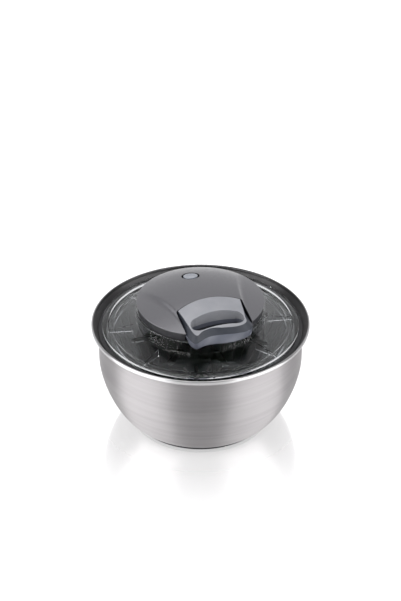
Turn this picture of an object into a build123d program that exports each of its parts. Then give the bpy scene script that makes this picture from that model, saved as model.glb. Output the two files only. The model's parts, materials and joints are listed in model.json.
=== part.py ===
from build123d import *
from math import acos, asin, cos, degrees, hypot, radians, sin, sqrt
import os

# Salad spinner: a steel bowl, a slotted basket on a pivot, and a clear lid that carries
# a pull-cord drive under a domed housing, with a docked pull handle and a brake button.
# Millimetres.  Origin at the centre of the base on the table, +Z up, the handle pulls
# out along -Y.

# ---- driving dimensions ------------------------------------------------------------
# bowl
RIM_RADIUS = 132.5
BOWL_HEIGHT = 133.0
BASE_RADIUS = 83.7
WALL_RADIUS = 124.4
WALL_STRAIGHT_Z = 84.0
FLARE_Z = 122.0
BOWL_EXPONENT = 1.56
SHEET = 1.0
BEAD_WIDTH = 3.0
BEAD_HEIGHT = 5.0
BEAD_ROUND = 1.4
FOOT_HEIGHT = 4.0
DIMPLE_RADIUS = 5.0
DIMPLE_HEIGHT = 3.0

# basket and its pivot
BASKET_FLOOR_Z = 14.0
BASKET_TOP_Z = 118.5
BASKET_FLOOR_RADIUS = 80.0
BASKET_TOP_RADIUS = 112.0
BASKET_WALL = 2.0
BASKET_SLOTS = 36
PIVOT_PIN_RADIUS = 3.0
RUNNING_FIT = 0.05

# lid
LID_RADIUS = 119.3
LID_TOP_Z = 131.0
LID_WALL = 2.0
TURRET_RADIUS = 78.0
TURRET_FOOT_Z = 135.0
DECK_Z = 151.0
SEAL_Z = 120.0
RIB_COUNT = 8
RIB_ANGLE = -12.3

# drive, all on the centre line
STEM_RADIUS = 8.0
BUSH_RADIUS = 11.0
DISC_Z = 152.8
DISC_RADIUS = 39.5
DISC_TOP_Z = 154.3
RATCHET_TOP_Z = 157.8
RATCHET_OUTER = 32.5
RATCHET_ROOT = 30.5
RATCHET_TIP = 28.0
RATCHET_TEETH = 24
REEL_Z = 158.2
REEL_TOP_Z = 166.2
REEL_RADIUS = 32.5
FLANGE = 1.0
CORD_DIAMETER = 1.5
WOUND_TURNS = 2.85
DRUM_RADIUS = 23.0
CORD_WIND_RADIUS = 24.0
CUP_RADIUS = 21.5
AXLE_RADIUS = 3.0
PAWL_PIN_CIRCLE = 17.0
PAWL_LENGTH = 18.0
PAWL_REST_ANGLE = 80.0
PAWL_SWING = 15.0

# housing
HOUSING_RADIUS = 76.0
TRAY_FLOOR_TOP = 152.0
TRAY_TOP_Z = 160.1
COVER_BOTTOM_Z = 160.2
COVER_RADIUS = 77.2
COVER_EDGE_Z = 161.4
CROWN_Z = 178.5
SCOOP_CROWN_Z = 173.0
COVER_WALL = 2.0
SCREW_CIRCLE = 62.0
SCREW_ANGLES = (35, 145, 215, 325)

# pull handle and its dock
HANDLE_HALF_WIDTH = 41.0
HANDLE_GAP = 0.5
DOCK_WALL_Y = -40.4
DOCK_WALL = 1.5
EYELET_Y = -41.0
DOCK_HALF_WIDTH = 35.6
LEDGE_TOP_Z = 168.3
CORD_Z = 164.4
HANDLE_BACK_Y = -42.4
HANDLE_FLOOR_Z = 153.4
HANDLE_SPLIT_Z = 158.8
HANDLE_WALL = 2.4
HANDLE_FOOT_ROUND = 1.0

# brake
BUTTON_Y = 36.0
BUTTON_RADIUS = 8.8
BUTTON_WELL_RADIUS = 10.1
BUTTON_TRAVEL = 2.7
BUTTON_EDGE_ROUND = 0.6

os.makedirs("parts", exist_ok=True)


def keep(part, label):
    """Name a finished piece and write it to its own file."""
    part.label = label
    export_step(part, f"parts/{label}.step")


def sphere_through(edge_radius, edge_z, crown_z):
    """Radius and centre height of the sphere cap with this edge circle and crown."""
    rise = crown_z - edge_z
    radius = (edge_radius**2 + rise**2) / (2 * rise)
    return radius, crown_z - radius


def wall_curve(floor_radius, top_radius, floor_z, top_z, steps=8):
    """Points of the bowl's quarter superellipse, from its floor to its straight wall."""
    power = 2 / BOWL_EXPONENT
    points = []
    for step in range(steps + 1):
        angle = radians(90 * step / steps)
        radius = floor_radius + (top_radius - floor_radius) * sin(angle) ** power
        height = top_z - (top_z - floor_z) * abs(cos(angle)) ** power
        points.append((radius, height))
    return points


def at_angle(radius, angle, z=0.0):
    """Point on a circle about the centre line."""
    return (radius * cos(radians(angle)), radius * sin(radians(angle)), z)


# ---- bowl --------------------------------------------------------------------------
inner_floor_z = FOOT_HEIGHT + SHEET
bead_centre = (RIM_RADIUS - BEAD_WIDTH / 2, BOWL_HEIGHT - BEAD_HEIGHT / 2)
with BuildPart() as bowl:
    with BuildSketch(Plane.XZ):
        with BuildLine():
            outer = Spline(wall_curve(BASE_RADIUS, WALL_RADIUS, FOOT_HEIGHT, WALL_STRAIGHT_Z))
            Polyline(
                outer @ 1,
                (WALL_RADIUS, FLARE_Z),
                (bead_centre[0] - 0.2, bead_centre[1] - 1.4),
                (bead_centre[0] - 1.2, bead_centre[1] - 0.8),
                (WALL_RADIUS - SHEET, FLARE_Z + 0.4),
                (WALL_RADIUS - SHEET, WALL_STRAIGHT_Z),
            )
            inner = Spline(
                wall_curve(BASE_RADIUS - 0.4, WALL_RADIUS - SHEET, inner_floor_z, WALL_STRAIGHT_Z)
            )
            Polyline(
                inner @ 0,
                (DIMPLE_RADIUS + 3.4, inner_floor_z),
                (DIMPLE_RADIUS + 0.4, inner_floor_z + DIMPLE_HEIGHT),
                (0, inner_floor_z + DIMPLE_HEIGHT),
                (0, FOOT_HEIGHT + DIMPLE_HEIGHT),
                (DIMPLE_RADIUS, FOOT_HEIGHT + DIMPLE_HEIGHT),
                (DIMPLE_RADIUS + 3.0, FOOT_HEIGHT),
                outer @ 0,
            )
        make_face()
        with Locations(bead_centre):
            RectangleRounded(BEAD_WIDTH, BEAD_HEIGHT, BEAD_ROUND)
    revolve(axis=Axis.Z)
keep(bowl.part, "bowl")

with BuildPart() as base_ring:
    with BuildSketch(Plane.XZ):
        with Locations((BASE_RADIUS - 5.5, 0)):
            Rectangle(13, FOOT_HEIGHT, align=(Align.CENTER, Align.MIN))
    revolve(axis=Axis.Z)
    fillet(base_ring.edges().group_by(Axis.Z)[0], 1.0)
keep(base_ring.part, "base_ring")

# ---- pivot and basket --------------------------------------------------------------
foot_bottom_z = inner_floor_z + 0.3
foot_top_z = 9.6
pin_top_z = 18.8
with BuildPart() as pivot_foot:
    with BuildSketch(Plane.XZ):
        Polygon(
            (0, inner_floor_z + DIMPLE_HEIGHT + 0.3),
            (DIMPLE_RADIUS + 0.8, inner_floor_z + DIMPLE_HEIGHT + 0.3),
            (DIMPLE_RADIUS + 3.9, foot_bottom_z),
            (13, foot_bottom_z),
            (13, 7.4),
            (11, foot_top_z),
            (PIVOT_PIN_RADIUS, foot_top_z),
            (PIVOT_PIN_RADIUS, pin_top_z - 1.0),
            (PIVOT_PIN_RADIUS - 1.0, pin_top_z),
            (0, pin_top_z),
            align=None,
        )
    revolve(axis=Axis.Z)
keep(pivot_foot.part, "pivot_foot")

bearing_radius = 6.0
with BuildPart() as basket_bearing:
    with BuildSketch(Plane.XZ):
        Polygon(
            (PIVOT_PIN_RADIUS + RUNNING_FIT, foot_top_z + 0.2),
            (bearing_radius + 2.0, foot_top_z + 0.2),
            (bearing_radius + 2.0, foot_top_z + 1.4),
            (bearing_radius, foot_top_z + 1.4),
            (bearing_radius, pin_top_z + 1.4),
            (0, pin_top_z + 1.4),
            (0, pin_top_z + 0.2),
            (PIVOT_PIN_RADIUS + RUNNING_FIT, pin_top_z + 0.2),
            align=None,
        )
    revolve(axis=Axis.Z)
keep(basket_bearing.part, "basket_bearing")

basket_slope = (BASKET_TOP_RADIUS - BASKET_FLOOR_RADIUS) / (BASKET_TOP_Z - BASKET_FLOOR_Z)


def basket_radius(z):
    """Outer radius of the basket's wall at a height."""
    return BASKET_FLOOR_RADIUS + basket_slope * (z - BASKET_FLOOR_Z)


slot_rows = ((24.0, 62.0), (70.0, 108.0))
slot_width = 4.0
basket_inner_floor = BASKET_FLOOR_Z + BASKET_WALL
with BuildPart() as basket:
    with BuildSketch(Plane.XZ):
        Polygon(
            (bearing_radius, foot_top_z + 1.4),
            (bearing_radius + 3, foot_top_z + 1.4),
            (bearing_radius + 3, BASKET_FLOOR_Z),
            (BASKET_FLOOR_RADIUS - 5, BASKET_FLOOR_Z),
            (basket_radius(BASKET_FLOOR_Z + 4), BASKET_FLOOR_Z + 4),
            (basket_radius(BASKET_TOP_Z - 2), BASKET_TOP_Z - 2),
            (BASKET_TOP_RADIUS + 3, BASKET_TOP_Z - 2),
            (BASKET_TOP_RADIUS + 3, BASKET_TOP_Z),
            (BASKET_TOP_RADIUS - BASKET_WALL, BASKET_TOP_Z),
            (basket_radius(basket_inner_floor + 4) - BASKET_WALL, basket_inner_floor + 4),
            (BASKET_FLOOR_RADIUS - 6, basket_inner_floor),
            (bearing_radius + 3, basket_inner_floor),
            (bearing_radius + 2, pin_top_z + 1.4),
            (bearing_radius, pin_top_z + 1.4),
            align=None,
        )
    revolve(axis=Axis.Z)
    for low, high in slot_rows:
        with Locations((0, 0, (low + high) / 2)):
            with PolarLocations(basket_radius((low + high) / 2), BASKET_SLOTS):
                Box(24, slot_width, high - low, mode=Mode.SUBTRACT)
    with BuildSketch(Plane.XY.offset(BASKET_FLOOR_Z)):
        with PolarLocations(44, 24):
            SlotOverall(46, 3.4)
    extrude(amount=BASKET_WALL, mode=Mode.SUBTRACT)
keep(basket.part, "basket")

# ---- lid ---------------------------------------------------------------------------
band_inner = 112.0
plate_outer = 105.0
plate_inner = 80.5
skirt_bottom_z = 120.5
with BuildPart() as lid:
    with BuildSketch(Plane.XZ):
        Polygon(
            (LID_RADIUS - LID_WALL, skirt_bottom_z),
            (LID_RADIUS, skirt_bottom_z),
            (LID_RADIUS, LID_TOP_Z - 0.8),
            (LID_RADIUS - 0.8, LID_TOP_Z),
            (band_inner, LID_TOP_Z),
            (band_inner - 0.8, LID_TOP_Z - 2),
            (108.9, LID_TOP_Z - 2),
            (108.5, LID_TOP_Z - 1.4),
            (plate_outer + 0.4, LID_TOP_Z - 1.4),
            (plate_outer, LID_TOP_Z - 2),
            (plate_inner + 1, TURRET_FOOT_Z - 0.4),
            (TURRET_RADIUS, TURRET_FOOT_Z + 1),
            (TURRET_RADIUS, DECK_Z - 0.6),
            (TURRET_RADIUS - 0.6, DECK_Z),
            (BUSH_RADIUS, DECK_Z),
            (BUSH_RADIUS, DECK_Z - LID_WALL),
            (TURRET_RADIUS - LID_WALL, DECK_Z - LID_WALL),
            (TURRET_RADIUS - LID_WALL, TURRET_FOOT_Z - LID_WALL + 1),
            (plate_inner, TURRET_FOOT_Z - LID_WALL - 0.6),
            (plate_outer, LID_TOP_Z - 4),
            (LID_RADIUS - LID_WALL, LID_TOP_Z - 4),
            align=None,
        )
    revolve(axis=Axis.Z)
    for angle in SCREW_ANGLES:
        with Locations(at_angle(SCREW_CIRCLE, angle, DECK_Z)):
            Hole(1.8)
    with BuildSketch(Plane.XY.offset(LID_TOP_Z - 8)):
        with PolarLocations(97.5, RIB_COUNT, start_angle=RIB_ANGLE):
            Rectangle(31, 1.6)
    extrude(until=Until.NEXT)
keep(lid.part, "lid")

with BuildPart() as lid_seal:
    with BuildSketch(Plane.XZ):
        Polygon(
            (LID_RADIUS, SEAL_Z),
            (WALL_RADIUS - SHEET - 0.6, SEAL_Z),
            (WALL_RADIUS - SHEET - 0.6, FLARE_Z + 0.6),
            (WALL_RADIUS - 0.3, FLARE_Z + 1.9),
            (WALL_RADIUS - 0.3, FLARE_Z + 2.6),
            (LID_RADIUS, FLARE_Z + 3.2),
            align=None,
        )
    revolve(axis=Axis.Z)
keep(lid_seal.part, "lid_seal")

with BuildPart() as hub_bush:
    with BuildSketch(Plane.XZ):
        Polygon(
            (STEM_RADIUS + RUNNING_FIT, DECK_Z - 5),
            (BUSH_RADIUS, DECK_Z - 5),
            (BUSH_RADIUS, DECK_Z),
            (BUSH_RADIUS + 2.5, DECK_Z),
            (BUSH_RADIUS + 2.5, DECK_Z + 1),
            (STEM_RADIUS + RUNNING_FIT, DECK_Z + 1),
            align=None,
        )
    revolve(axis=Axis.Z)
keep(hub_bush.part, "hub_bush")

# ---- spinning drive under the reel -------------------------------------------------
plate_z = 119.5
plate_top_z = 121.5
tooth_pitch = 360 / RATCHET_TEETH
pawl_reach = hypot(
    PAWL_PIN_CIRCLE + PAWL_LENGTH * cos(radians(PAWL_REST_ANGLE - PAWL_SWING)),
    PAWL_LENGTH * sin(radians(PAWL_REST_ANGLE - PAWL_SWING)),
)
tip_lead = degrees(
    asin(PAWL_LENGTH * sin(radians(PAWL_REST_ANGLE - PAWL_SWING)) / pawl_reach)
)
PAWL_ANGLES = (90, 210, 330)
gap_angle = PAWL_ANGLES[0] + tip_lead

with BuildPart() as drive_hub:
    with BuildSketch(Plane.XZ):
        Polygon(
            (0, plate_z),
            (STEM_RADIUS, plate_z),
            (STEM_RADIUS, DECK_Z + 1.2),
            (BUSH_RADIUS, DECK_Z + 1.2),
            (BUSH_RADIUS, DISC_Z),
            (DISC_RADIUS, DISC_Z),
            (DISC_RADIUS, DISC_TOP_Z),
            (RATCHET_OUTER, DISC_TOP_Z),
            (RATCHET_OUTER, RATCHET_TOP_Z),
            (RATCHET_TIP, RATCHET_TOP_Z),
            (RATCHET_TIP, DISC_TOP_Z),
            (0, DISC_TOP_Z),
            align=None,
        )
    revolve(axis=Axis.Z)
    with BuildSketch(Plane.XY.offset(DISC_TOP_Z)):
        for tooth in range(RATCHET_TEETH):
            start = gap_angle + tooth * tooth_pitch
            Polygon(
                at_angle(RATCHET_TIP - 1, start - 8.0)[:2],
                at_angle(RATCHET_ROOT, start - 3.6)[:2],
                at_angle(RATCHET_ROOT, start + 1.5)[:2],
                at_angle(RATCHET_TIP - 1, start + 7.5)[:2],
                align=None,
            )
    extrude(amount=RATCHET_TOP_Z - DISC_TOP_Z, mode=Mode.SUBTRACT)
    with Locations((0, 0, DISC_TOP_Z)):
        Hole(AXLE_RADIUS + RUNNING_FIT, depth=7)
    with BuildSketch(Plane.XY.offset(plate_z)):
        Circle(1.5)
    extrude(amount=14, mode=Mode.SUBTRACT)
keep(drive_hub.part, "drive_hub")

with BuildPart() as basket_disc:
    with BuildSketch(Plane.XZ):
        Polygon(
            (STEM_RADIUS, plate_z),
            (106, plate_z),
            (106, BASKET_TOP_Z - 3),
            (108, BASKET_TOP_Z - 3),
            (108, plate_z),
            (BASKET_TOP_RADIUS + 3, plate_z),
            (BASKET_TOP_RADIUS + 3, plate_top_z),
            (STEM_RADIUS + 4, plate_top_z),
            (STEM_RADIUS + 3, plate_top_z + 18),
            (STEM_RADIUS, plate_top_z + 18),
            align=None,
        )
    revolve(axis=Axis.Z)
    with BuildSketch(Plane.XY.offset(plate_z)):
        with PolarLocations(70, 8):
            SlotOverall(36, 8)
    extrude(amount=plate_top_z - plate_z, mode=Mode.SUBTRACT)
keep(basket_disc.part, "basket_disc")

with BuildPart() as hub_washer:
    with BuildSketch(Plane.XY.offset(plate_z - 1)):
        Circle(STEM_RADIUS + 2)
        Circle(1.8, mode=Mode.SUBTRACT)
    extrude(amount=1)
keep(hub_washer.part, "hub_washer")

with BuildPart() as hub_screw:
    with BuildSketch(Plane.XY.offset(plate_z - 3)):
        Circle(3.2)
    extrude(amount=2)
    with BuildSketch(Plane.XY.offset(plate_z - 1)):
        Circle(1.5)
    extrude(amount=13)
    with BuildSketch(Plane.XY.offset(plate_z - 3)):
        RegularPolygon(1.6, 6)
    extrude(amount=1.2, mode=Mode.SUBTRACT)
keep(hub_screw.part, "hub_screw")

# ---- cord reel with its recoil spring ----------------------------------------------
with BuildPart() as cord_reel:
    with BuildSketch(Plane.XZ):
        Polygon(
            (AXLE_RADIUS + RUNNING_FIT, REEL_Z),
            (REEL_RADIUS, REEL_Z),
            (REEL_RADIUS, REEL_Z + FLANGE),
            (DRUM_RADIUS, REEL_Z + FLANGE),
            (DRUM_RADIUS, REEL_TOP_Z - FLANGE),
            (CUP_RADIUS, REEL_TOP_Z - FLANGE),
            (CUP_RADIUS, REEL_Z + FLANGE),
            (AXLE_RADIUS + RUNNING_FIT, REEL_Z + FLANGE),
            align=None,
        )
    revolve(axis=Axis.Z)
    with BuildSketch(Plane.XY.offset(REEL_Z)):
        with PolarLocations(PAWL_PIN_CIRCLE, len(PAWL_ANGLES), start_angle=PAWL_ANGLES[0]):
            Circle(1.3)
    extrude(amount=FLANGE, mode=Mode.SUBTRACT)
keep(cord_reel.part, "cord_reel")

with BuildPart() as reel_cap:
    with BuildSketch(Plane.XY.offset(REEL_TOP_Z - FLANGE)):
        Circle(REEL_RADIUS)
        Circle(8.5, mode=Mode.SUBTRACT)
    extrude(amount=FLANGE)
keep(reel_cap.part, "reel_cap")

# the cord leaves the drum at the tangent point that faces the eyelet
leave_angle = degrees(acos(CORD_WIND_RADIUS / -EYELET_Y))
leave_point = at_angle(CORD_WIND_RADIUS, 270 - leave_angle, CORD_Z)
wind_pitch = CORD_DIAMETER + 0.05
winding = Helix(
    wind_pitch,
    wind_pitch * WOUND_TURNS,
    CORD_WIND_RADIUS,
    center=(0, 0, CORD_Z - wind_pitch * WOUND_TURNS),
    mode=Mode.PRIVATE,
).rotate(Axis.Z, 270 - leave_angle - 360 * WOUND_TURNS)
with BuildPart() as pull_cord:
    with BuildLine():
        add(winding)
    with BuildSketch(Plane(origin=winding @ 0, z_dir=winding % 0)):
        Circle(CORD_DIAMETER / 2)
    sweep()
keep(pull_cord.part, "pull_cord")

with BuildPart() as cord_run:
    with BuildLine():
        FilletPolyline(leave_point, (0, EYELET_Y, CORD_Z), (0, HANDLE_BACK_Y - 1, CORD_Z), radius=3)
    with BuildSketch(Plane(origin=cord_run.pending_edges[0] @ 0, z_dir=cord_run.pending_edges[0] % 0)):
        Circle(CORD_DIAMETER / 2)
    sweep()
keep(cord_run.part, "cord_run")

with BuildPart() as pawl_pins:
    with BuildSketch(Plane.XY.offset(DISC_TOP_Z + 0.4)):
        with PolarLocations(PAWL_PIN_CIRCLE, len(PAWL_ANGLES), start_angle=PAWL_ANGLES[0]):
            Circle(1.3)
    extrude(amount=REEL_Z + FLANGE - DISC_TOP_Z - 0.4)
keep(pawl_pins.part, "pawl_pins")

pawl_z = DISC_TOP_Z + 0.7
pawl_top_z = REEL_Z - 0.5
for number, pin_angle in enumerate(PAWL_ANGLES, start=1):
    pawl_plane = Plane(
        origin=at_angle(PAWL_PIN_CIRCLE, pin_angle, pawl_z),
        x_dir=at_angle(1, pin_angle + PAWL_REST_ANGLE),
        z_dir=(0, 0, 1),
    )
    with BuildPart() as pawl:
        with BuildSketch(pawl_plane):
            Circle(2.8)
            Polygon(
                (0, -2.6),
                (PAWL_LENGTH - 2.5, -1.7),
                (PAWL_LENGTH, -0.7),
                (PAWL_LENGTH, 0.3),
                (PAWL_LENGTH - 2.5, 1.2),
                (0, 2.6),
                align=None,
            )
            Circle(1.3 + RUNNING_FIT, mode=Mode.SUBTRACT)
        extrude(amount=pawl_top_z - pawl_z)
    keep(pawl.part, f"pawl_{number}")

arbor_radius = 5.5
spring_pitch = 1.8
spring_half_turns = 16
strip = 0.5
with BuildPart() as recoil_spring:
    with BuildSketch(Plane.XY.offset(REEL_Z + FLANGE + 0.4)):
        for half in range(spring_half_turns):
            radius = arbor_radius + 0.7 + half * spring_pitch / 2
            centre = spring_pitch / 4 if half % 2 else -spring_pitch / 4
            side = -1 if half % 2 else 1
            with BuildLine():
                far = (centre, side * (radius + strip / 2))
                near = (centre, side * (radius - strip / 2))
                ThreePointArc((centre + radius + strip / 2, 0), far, (centre - radius - strip / 2, 0))
                Line((centre - radius - strip / 2, 0), (centre - radius + strip / 2, 0))
                ThreePointArc((centre - radius + strip / 2, 0), near, (centre + radius - strip / 2, 0))
                Line((centre + radius - strip / 2, 0), (centre + radius + strip / 2, 0))
            make_face()
    extrude(amount=5)
keep(recoil_spring.part, "recoil_spring")

# ---- housing -----------------------------------------------------------------------
crown_radius, crown_centre = sphere_through(COVER_RADIUS, COVER_EDGE_Z, CROWN_Z)
scoop_radius, scoop_centre = sphere_through(COVER_RADIUS, COVER_EDGE_Z, SCOOP_CROWN_Z)


def crown_at(radius):
    """Height of the raised crown at a distance from the centre line."""
    return crown_centre + sqrt(crown_radius**2 - radius**2)


def scoop_at(radius):
    """Height of the lower scoops at a distance from the centre line."""
    return scoop_centre + sqrt(scoop_radius**2 - radius**2)


with BuildPart() as housing_tray:
    with BuildSketch(Plane.XZ):
        Polygon(
            (BUSH_RADIUS + 2.7, DECK_Z),
            (HOUSING_RADIUS, DECK_Z),
            (HOUSING_RADIUS, TRAY_TOP_Z),
            (HOUSING_RADIUS - 2, TRAY_TOP_Z),
            (HOUSING_RADIUS - 2, TRAY_FLOOR_TOP),
            (BUSH_RADIUS + 2.7, TRAY_FLOOR_TOP),
            align=None,
        )
    revolve(axis=Axis.Z)
    with Locations((0, -HOUSING_RADIUS, TRAY_FLOOR_TOP)):
        Box(2 * (HANDLE_HALF_WIDTH + 1.2), 60, 20,
            align=(Align.CENTER, Align.CENTER, Align.MIN), mode=Mode.SUBTRACT)
    for angle in SCREW_ANGLES:
        with Locations(at_angle(SCREW_CIRCLE, angle, TRAY_FLOOR_TOP)):
            Hole(1.8)
keep(housing_tray.part, "housing_tray")


def handle_outline(front_middle, front_shoulder, side_front, corner_y, side_back):
    """Closed outline of the handle: arched back, straight sides, waved front edge."""
    with BuildLine() as outline:
        ThreePointArc((-side_back, -30), (0, -22), (side_back, -30))
        Line((side_back, -30), (side_front, corner_y))
        Spline(
            (side_front, corner_y),
            (26, front_shoulder),
            (0, front_middle),
            (-26, front_shoulder),
            (-side_front, corner_y),
            tangents=((0, -1), (0, 1)),
        )
        Line((-side_front, corner_y), (-side_back, -30))
    return outline.line


top_outline = dict(
    front_middle=-70.2, front_shoulder=-72.8, side_front=34.6, corner_y=-60.4, side_back=38.9
)
band_outline = dict(
    front_middle=-70.6, front_shoulder=-73.2, side_front=35.8, corner_y=-60.8, side_back=40.1
)
middle_outline = dict(
    front_middle=-77.0, front_shoulder=-80.0, side_front=40.8, corner_y=-64.0, side_back=41.0
)
bottom_outline = dict(
    front_middle=-83.5, front_shoulder=-80.6, side_front=39.5, corner_y=-64.0, side_back=41.0
)
brow_z = 164.4
band_top_z = 174.0
handle_bottom_z = 149.5
foot_level = handle_bottom_z + 0.1

saddle_front_y = -32.0
button_top_z = crown_at(BUTTON_Y)
sleeve_floor_z = 166.9
boss_top_z = 164.5


def dome_cap(radius, centre, floor_z):
    """Solid cap of a sphere above a level."""
    reach = sqrt(radius**2 - (floor_z - centre) ** 2)
    with BuildPart() as cap:
        with BuildSketch(Plane.XZ):
            with BuildLine():
                rise = asin(reach / 2 / radius)
                middle = (radius * sin(rise), centre + radius * cos(rise))
                ThreePointArc((0, centre + radius), middle, (reach, floor_z))
                Polyline((reach, floor_z), (0, floor_z), (0, centre + radius))
            make_face()
        revolve(axis=Axis.Z)
    return cap.part


def saddle_block(inset):
    """Tapered block whose sides are the creases of the raised saddle."""
    front = HANDLE_HALF_WIDTH + 3.0 - inset
    back = 70.0 - inset
    with BuildPart() as block:
        with BuildSketch(Plane.XY.offset(COVER_BOTTOM_Z)):
            with BuildLine():
                Line((-front, saddle_front_y), (front, saddle_front_y))
                ThreePointArc((front, saddle_front_y), (54.5 - inset, 6), (back, 46))
                Polyline((back, 46), (back, 90), (-back, 90), (-back, 46))
                ThreePointArc((-back, 46), (-54.5 + inset, 6), (-front, saddle_front_y))
            make_face()
        extrude(amount=26, taper=22)
    return block.part


def dock_hole(gap, low_z, high_z):
    """Block that clears the docked handle: arched back, straight sides, open front."""
    side = HANDLE_HALF_WIDTH + gap
    with BuildPart() as block:
        with BuildSketch(Plane.XY.offset(low_z)):
            with BuildLine():
                ThreePointArc((-side, -30), (0, -22 + gap), (side, -30))
                Polyline((side, -30), (side, -95), (-side, -95), (-side, -30))
            make_face()
        extrude(amount=high_z - low_z)
    return block.part


scoop_cap = dome_cap(scoop_radius, scoop_centre, COVER_EDGE_Z)
scoop_hollow = dome_cap(scoop_radius - COVER_WALL, scoop_centre, COVER_BOTTOM_Z)
crown_cap = dome_cap(crown_radius, crown_centre, COVER_EDGE_Z) & saddle_block(0)
crown_hollow = dome_cap(crown_radius - COVER_WALL, crown_centre, COVER_BOTTOM_Z) & saddle_block(3)
with BuildPart() as fittings:
    with BuildSketch(Plane.XY.offset(sleeve_floor_z)):
        with Locations((0, BUTTON_Y)):
            Circle(BUTTON_WELL_RADIUS + 1.4)
        Circle(7)
    extrude(amount=20)
sleeve_and_boss = fittings.part & dome_cap(crown_radius - 0.8, crown_centre, COVER_BOTTOM_Z)
with BuildPart() as housing_cover:
    with BuildSketch(Plane.XY.offset(COVER_BOTTOM_Z)):
        Circle(COVER_RADIUS)
    extrude(amount=COVER_EDGE_Z - COVER_BOTTOM_Z)
    add(scoop_cap)
    add(crown_cap)
    add(scoop_hollow, mode=Mode.SUBTRACT)
    add(crown_hollow, mode=Mode.SUBTRACT)
    with BuildSketch(Plane.XY.offset(TRAY_FLOOR_TOP + 0.1)):
        for angle in SCREW_ANGLES:
            with Locations(at_angle(SCREW_CIRCLE, angle)[:2]):
                Circle(4)
    extrude(amount=boss_top_z - TRAY_FLOOR_TOP - 0.1)
    add(sleeve_and_boss)
    with BuildSketch(Plane.XY.offset(sleeve_floor_z + 1.1)):
        with Locations((0, BUTTON_Y)):
            Circle(BUTTON_WELL_RADIUS)
    extrude(amount=20, mode=Mode.SUBTRACT)
    with BuildSketch(Plane.XY.offset(sleeve_floor_z)):
        with Locations((0, BUTTON_Y)):
            Circle(3.1)
        Circle(AXLE_RADIUS)
    extrude(amount=7, mode=Mode.SUBTRACT)
    with BuildSketch(Plane.XY.offset(TRAY_FLOOR_TOP + 0.1)):
        for angle in SCREW_ANGLES:
            with Locations(at_angle(SCREW_CIRCLE, angle)[:2]):
                Circle(1.4)
    extrude(amount=10, mode=Mode.SUBTRACT)
    add(dock_hole(HANDLE_GAP, TRAY_FLOOR_TOP, 190), mode=Mode.SUBTRACT)
keep(housing_cover.part, "housing_cover")

dock_side = HANDLE_HALF_WIDTH + 0.6
dock_outer = dock_side + DOCK_WALL
dock_front_y = -59.4
dock_ceiling = dome_cap(scoop_radius - COVER_WALL - 0.2, scoop_centre, TRAY_FLOOR_TOP)
with BuildPart() as side_walls:
    with BuildSketch(Plane.XY.offset(TRAY_FLOOR_TOP)):
        with Locations((dock_side, dock_front_y), (-dock_outer, dock_front_y)):
            Rectangle(DOCK_WALL, 31, align=(Align.MIN, Align.MIN))
    extrude(amount=30)
    add(dock_ceiling, mode=Mode.INTERSECT)
with BuildPart() as handle_dock:
    with BuildSketch(Plane.XY.offset(TRAY_FLOOR_TOP)):
        with Locations((0, dock_front_y)):
            Rectangle(2 * dock_outer, 19, align=(Align.CENTER, Align.MIN))
    extrude(amount=0.9)
    with BuildSketch(Plane.XY.offset(TRAY_FLOOR_TOP)):
        with Locations((0, DOCK_WALL_Y)):
            Rectangle(2 * DOCK_HALF_WIDTH, DOCK_WALL, align=(Align.CENTER, Align.MAX))
    extrude(amount=LEDGE_TOP_Z - TRAY_FLOOR_TOP)
    with BuildSketch(Plane.XY.offset(LEDGE_TOP_Z - 1.6)):
        with BuildLine():
            ThreePointArc((-DOCK_HALF_WIDTH, -27), (0, -19), (DOCK_HALF_WIDTH, -27))
            Polyline(
                (DOCK_HALF_WIDTH, -27),
                (DOCK_HALF_WIDTH, DOCK_WALL_Y - DOCK_WALL),
                (-DOCK_HALF_WIDTH, DOCK_WALL_Y - DOCK_WALL),
                (-DOCK_HALF_WIDTH, -27),
            )
        make_face()
    extrude(amount=1.6)
    add(side_walls.part)
    with BuildSketch(Plane.XZ.offset(-DOCK_WALL_Y - 1)):
        with Locations((0, CORD_Z)):
            Circle(2.2)
    extrude(amount=4, mode=Mode.SUBTRACT)
keep(handle_dock.part, "handle_dock")

with BuildPart() as cord_eyelet:
    with BuildSketch(Plane.XZ.offset(-DOCK_WALL_Y)):
        with Locations((0, CORD_Z)):
            Circle(2.2)
    extrude(amount=DOCK_WALL)
    with BuildSketch(Plane.XZ.offset(-DOCK_WALL_Y - 0.6)):
        with Locations((0, CORD_Z)):
            Circle(2.3)
    extrude(amount=0.6)
    with BuildSketch(Plane.XZ.offset(-DOCK_WALL_Y - 0.6)):
        with Locations((0, CORD_Z)):
            Circle(1.7)
    extrude(amount=3, mode=Mode.SUBTRACT)
keep(cord_eyelet.part, "cord_eyelet")

with BuildPart() as axle_pin:
    with BuildSketch(Plane.XY.offset(DISC_TOP_Z - 5)):
        Circle(AXLE_RADIUS)
    extrude(amount=sleeve_floor_z + 6.8 - DISC_TOP_Z + 5)
keep(axle_pin.part, "axle_pin")

with BuildPart() as spring_arbor:
    with BuildSketch(Plane.XY.offset(REEL_Z + FLANGE + 0.4)):
        Circle(arbor_radius)
        Circle(AXLE_RADIUS, mode=Mode.SUBTRACT)
    extrude(amount=sleeve_floor_z - REEL_Z - FLANGE - 0.4)
keep(spring_arbor.part, "spring_arbor")

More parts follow.
